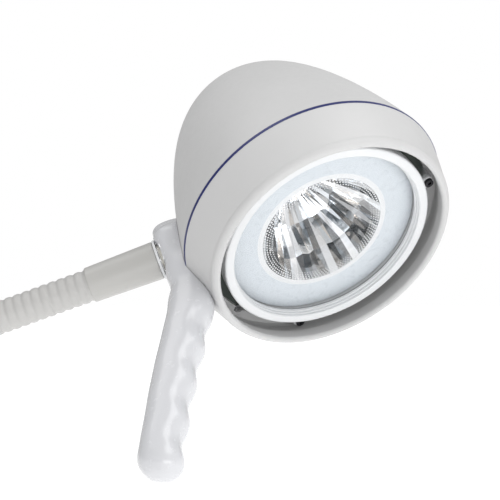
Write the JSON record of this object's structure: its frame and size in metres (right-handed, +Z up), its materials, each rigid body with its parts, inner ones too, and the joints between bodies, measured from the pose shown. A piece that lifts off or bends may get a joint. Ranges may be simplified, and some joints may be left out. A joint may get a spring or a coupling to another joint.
{
  "type": "surgical light",
  "caption": "Gooseneck surgical light: bell-shaped head with a recessed round glass and faceted reflector, finger-grooved side grip, ribbed flexible arm and vertical mounting spigot.",
  "frame": {"origin": "centre of the base shoulder, where the spigot leaves the ferrule", "axes": "+Z up along the spigot, +X from the base towards the head, light leaves the head towards -Y and down"},
  "size_m": [0.4565, 0.2115, 0.4928],
  "materials": {
    "shell_grey": "fine textured moulding",
    "accent_blue": "gloss",
    "ring_white": "satin",
    "clear_glass": "polished",
    "printed_border": "printed on the back of the glass",
    "reflector_metal": "bright facets",
    "chassis_dark": "dark cast",
    "steel": "turned",
    "dark_steel": "blackened",
    "seal_rubber": "matte",
    "circuit_board": "laminate",
    "electronic_parts": "moulded",
    "led_yellow": "silicone dome",
    "aluminium": "extruded",
    "grip_white": "gloss",
    "sleeve_grey": "satin",
    "neck_grey": "soft ribbed sleeve",
    "bearing_plastic": "natural",
    "brass": "plain",
    "button_grey": "satin",
    "insulation_black": "plain"
  },
  "bodies": {
    "base": {"base_ferrule": "sleeve_grey", "base_plug": "neck_grey", "spigot": "steel", "ferrule_screws": "dark_steel", "supply_socket": "insulation_black", "supply_pins": "brass"},
    "link_01": {"neck_link_01": "neck_grey"},
    "link_02": {"neck_link_02": "neck_grey"},
    "link_03": {"neck_link_03": "neck_grey"},
    "link_04": {"neck_link_04": "neck_grey"},
    "link_05": {"neck_link_05": "neck_grey"},
    "link_06": {"neck_link_06": "neck_grey"},
    "link_07": {"neck_link_07": "neck_grey"},
    "link_08": {"neck_link_08": "neck_grey"},
    "link_09": {"neck_link_09": "neck_grey"},
    "sleeve": {"sleeve_plug": "neck_grey", "neck_sleeve": "sleeve_grey", "sleeve_ring": "ring_white", "sleeve_screws": "dark_steel", "swivel_shaft": "steel", "thrust_washer": "bearing_plastic", "spring_washer": "steel", "stop_washer": "steel", "swivel_nut": "steel"},
    "head": {"rear_dome": "shell_grey", "accent_ring": "accent_blue", "front_collar": "shell_grey", "chassis_ring": "chassis_dark", "lug_spacers": "aluminium", "chassis_screws": "steel", "dome_screws": "steel", "lens_ring": "ring_white", "lens_screws": "dark_steel", "glass_gasket": "seal_rubber", "cover_glass": "clear_glass", "glass_mask": "printed_border", "reflector": "reflector_metal", "rim_gasket": "seal_rubber", "support_posts": "steel", "sink_plate": "aluminium", "plate_screws": "steel", "led_board": "circuit_board", "led_emitter": "led_yellow", "heat_sink": "aluminium", "board_standoffs": "brass", "driver_board": "circuit_board", "board_screws": "steel", "driver_parts": "electronic_parts", "head_lead": "insulation_black", "switch_body": "button_grey", "switch_nut": "steel", "grip_near_half": "grip_white", "grip_far_half": "grip_white", "grip_screws": "steel", "bearing_housing": "aluminium", "housing_nut": "aluminium", "housing_spacer": "bearing_plastic", "swivel_bush": "bearing_plastic", "stop_pin": "steel"},
    "button": {"power_button": "button_grey"}
  },
  "joints": [
    {"name": "neck_bend_1", "type": "hinge", "parent": "base", "child": "link_01", "pos_m": [0, 0, 0.062], "axis": [0.0314, -0.9995, 0], "range_deg": [-10, 10]},
    {"name": "neck_sway_1", "type": "hinge", "parent": "link_01", "child": "link_02", "pos_m": [0.00182, 0.00006, 0.10116], "axis": [-0.9931, -0.0312, 0.1126], "range_deg": [-10, 10]},
    {"name": "neck_bend_2", "type": "hinge", "parent": "link_02", "child": "link_03", "pos_m": [0.00881, 0.00028, 0.13973], "axis": [0.0314, -0.9995, 0], "range_deg": [-10, 10]},
    {"name": "neck_sway_2", "type": "hinge", "parent": "link_03", "child": "link_04", "pos_m": [0.02325, 0.00073, 0.17617], "axis": [-0.8797, -0.0276, 0.4748], "range_deg": [-10, 10]},
    {"name": "neck_bend_3", "type": "hinge", "parent": "link_04", "child": "link_05", "pos_m": [0.04575, 0.00144, 0.20826], "axis": [0.0314, -0.9995, 0], "range_deg": [-10, 10]},
    {"name": "neck_sway_3", "type": "hinge", "parent": "link_05", "child": "link_06", "pos_m": [0.07508, 0.00236, 0.23425], "axis": [-0.5854, -0.0184, 0.8105], "range_deg": [-10, 10]},
    {"name": "neck_bend_4", "type": "hinge", "parent": "link_06", "child": "link_07", "pos_m": [0.10896, 0.00342, 0.25395], "axis": [0.0314, -0.9995, 0], "range_deg": [-10, 10]},
    {"name": "neck_sway_4", "type": "hinge", "parent": "link_07", "child": "link_08", "pos_m": [0.14514, 0.00456, 0.26899], "axis": [-0.362, -0.0114, 0.9321], "range_deg": [-10, 10]},
    {"name": "neck_bend_5", "type": "hinge", "parent": "link_08", "child": "link_09", "pos_m": [0.18198, 0.00572, 0.28234], "axis": [0.0314, -0.9995, 0], "range_deg": [-10, 10]},
    {"name": "neck_sway_5", "type": "hinge", "parent": "link_09", "child": "sleeve", "pos_m": [0.21882, 0.00688, 0.29568], "axis": [-0.3402, -0.0107, 0.9403], "range_deg": [-10, 10]},
    {"name": "head_swivel", "type": "hinge", "parent": "sleeve", "child": "head", "pos_m": [0.27225, 0.00898, 0.31543], "axis": [-0.9373, -0.0369, -0.3465], "range_deg": [-160, 160]},
    {"name": "power_press", "type": "slide", "parent": "head", "child": "button", "axis": [0.3715, -0.6814, -0.6307], "range_m": [0, 0.0012], "stiffness_N_per_m": 1500, "springref_m": -0.0008}
  ]
}
